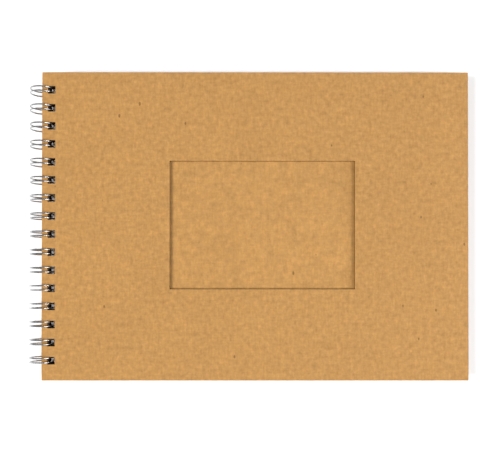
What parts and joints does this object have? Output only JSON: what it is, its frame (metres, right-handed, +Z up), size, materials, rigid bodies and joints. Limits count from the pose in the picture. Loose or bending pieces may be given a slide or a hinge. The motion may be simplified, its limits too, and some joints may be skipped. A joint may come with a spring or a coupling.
{
  "type": "scrapbook album",
  "caption": "Landscape kraft scrapbook album with thick board covers, turning leaves and a die-cut photo window in the front, bound on a twin-loop wire comb.",
  "frame": {"origin": "centre of the album's footprint, at the lowest point of the wire loops it lies on", "axes": "+Z up out of the front cover, +X from the spine to the fore edge, +Y towards the head of the cover"},
  "size_m": [0.3098, 0.217, 0.017],
  "materials": {
    "kraft_board": "matte",
    "kraft_leaf": "matte",
    "silver_wire": "gloss"
  },
  "bodies": {
    "back_board": {"back_cover": "kraft_board"},
    "page_20": {"leaf_20": "kraft_leaf"},
    "page_19": {"leaf_19": "kraft_leaf"},
    "page_18": {"leaf_18": "kraft_leaf"},
    "page_17": {"leaf_17": "kraft_leaf"},
    "page_16": {"leaf_16": "kraft_leaf"},
    "page_15": {"leaf_15": "kraft_leaf"},
    "page_14": {"leaf_14": "kraft_leaf"},
    "page_13": {"leaf_13": "kraft_leaf"},
    "page_12": {"leaf_12": "kraft_leaf"},
    "page_11": {"leaf_11": "kraft_leaf"},
    "page_10": {"leaf_10": "kraft_leaf"},
    "page_09": {"leaf_09": "kraft_leaf"},
    "page_08": {"leaf_08": "kraft_leaf"},
    "page_07": {"leaf_07": "kraft_leaf"},
    "page_06": {"leaf_06": "kraft_leaf"},
    "page_05": {"leaf_05": "kraft_leaf"},
    "page_04": {"leaf_04": "kraft_leaf"},
    "page_03": {"leaf_03": "kraft_leaf"},
    "page_02": {"leaf_02": "kraft_leaf"},
    "page_01": {"leaf_01": "kraft_leaf"},
    "front_board": {"front_cover": "kraft_board"},
    "comb": {"wire_binding": "silver_wire"}
  },
  "joints": [
    {"name": "page_20_turn", "type": "hinge", "parent": "back_board", "child": "page_20", "pos_m": [-0.1464, 0, 0.0085], "axis": [0, -1, 0], "range_deg": [0, 180]},
    {"name": "page_19_turn", "type": "hinge", "parent": "page_20", "child": "page_19", "pos_m": [-0.1464, 0, 0.0085], "axis": [0, -1, 0], "range_deg": [0, 180]},
    {"name": "page_18_turn", "type": "hinge", "parent": "page_19", "child": "page_18", "pos_m": [-0.1464, 0, 0.0085], "axis": [0, -1, 0], "range_deg": [0, 180]},
    {"name": "page_17_turn", "type": "hinge", "parent": "page_18", "child": "page_17", "pos_m": [-0.1464, 0, 0.0085], "axis": [0, -1, 0], "range_deg": [0, 180]},
    {"name": "page_16_turn", "type": "hinge", "parent": "page_17", "child": "page_16", "pos_m": [-0.1464, 0, 0.0085], "axis": [0, -1, 0], "range_deg": [0, 180]},
    {"name": "page_15_turn", "type": "hinge", "parent": "page_16", "child": "page_15", "pos_m": [-0.1464, 0, 0.0085], "axis": [0, -1, 0], "range_deg": [0, 180]},
    {"name": "page_14_turn", "type": "hinge", "parent": "page_15", "child": "page_14", "pos_m": [-0.1464, 0, 0.0085], "axis": [0, -1, 0], "range_deg": [0, 180]},
    {"name": "page_13_turn", "type": "hinge", "parent": "page_14", "child": "page_13", "pos_m": [-0.1464, 0, 0.0085], "axis": [0, -1, 0], "range_deg": [0, 180]},
    {"name": "page_12_turn", "type": "hinge", "parent": "page_13", "child": "page_12", "pos_m": [-0.1464, 0, 0.0085], "axis": [0, -1, 0], "range_deg": [0, 180]},
    {"name": "page_11_turn", "type": "hinge", "parent": "page_12", "child": "page_11", "pos_m": [-0.1464, 0, 0.0085], "axis": [0, -1, 0], "range_deg": [0, 180]},
    {"name": "page_10_turn", "type": "hinge", "parent": "page_11", "child": "page_10", "pos_m": [-0.1464, 0, 0.0085], "axis": [0, -1, 0], "range_deg": [0, 180]},
    {"name": "page_09_turn", "type": "hinge", "parent": "page_10", "child": "page_09", "pos_m": [-0.1464, 0, 0.0085], "axis": [0, -1, 0], "range_deg": [0, 180]},
    {"name": "page_08_turn", "type": "hinge", "parent": "page_09", "child": "page_08", "pos_m": [-0.1464, 0, 0.0085], "axis": [0, -1, 0], "range_deg": [0, 180]},
    {"name": "page_07_turn", "type": "hinge", "parent": "page_08", "child": "page_07", "pos_m": [-0.1464, 0, 0.0085], "axis": [0, -1, 0], "range_deg": [0, 180]},
    {"name": "page_06_turn", "type": "hinge", "parent": "page_07", "child": "page_06", "pos_m": [-0.1464, 0, 0.0085], "axis": [0, -1, 0], "range_deg": [0, 180]},
    {"name": "page_05_turn", "type": "hinge", "parent": "page_06", "child": "page_05", "pos_m": [-0.1464, 0, 0.0085], "axis": [0, -1, 0], "range_deg": [0, 180]},
    {"name": "page_04_turn", "type": "hinge", "parent": "page_05", "child": "page_04", "pos_m": [-0.1464, 0, 0.0085], "axis": [0, -1, 0], "range_deg": [0, 180]},
    {"name": "page_03_turn", "type": "hinge", "parent": "page_04", "child": "page_03", "pos_m": [-0.1464, 0, 0.0085], "axis": [0, -1, 0], "range_deg": [0, 180]},
    {"name": "page_02_turn", "type": "hinge", "parent": "page_03", "child": "page_02", "pos_m": [-0.1464, 0, 0.0085], "axis": [0, -1, 0], "range_deg": [0, 180]},
    {"name": "page_01_turn", "type": "hinge", "parent": "page_02", "child": "page_01", "pos_m": [-0.1464, 0, 0.0085], "axis": [0, -1, 0], "range_deg": [0, 180]},
    {"name": "front_board_turn", "type": "hinge", "parent": "page_01", "child": "front_board", "pos_m": [-0.1464, 0, 0.0085], "axis": [0, -1, 0], "range_deg": [0, 180]},
    {"name": "comb_roll", "type": "hinge", "parent": "back_board", "child": "comb", "pos_m": [-0.1464, 0, 0.0085], "axis": [0, 1, 0], "range_deg": [0, 150]}
  ]
}
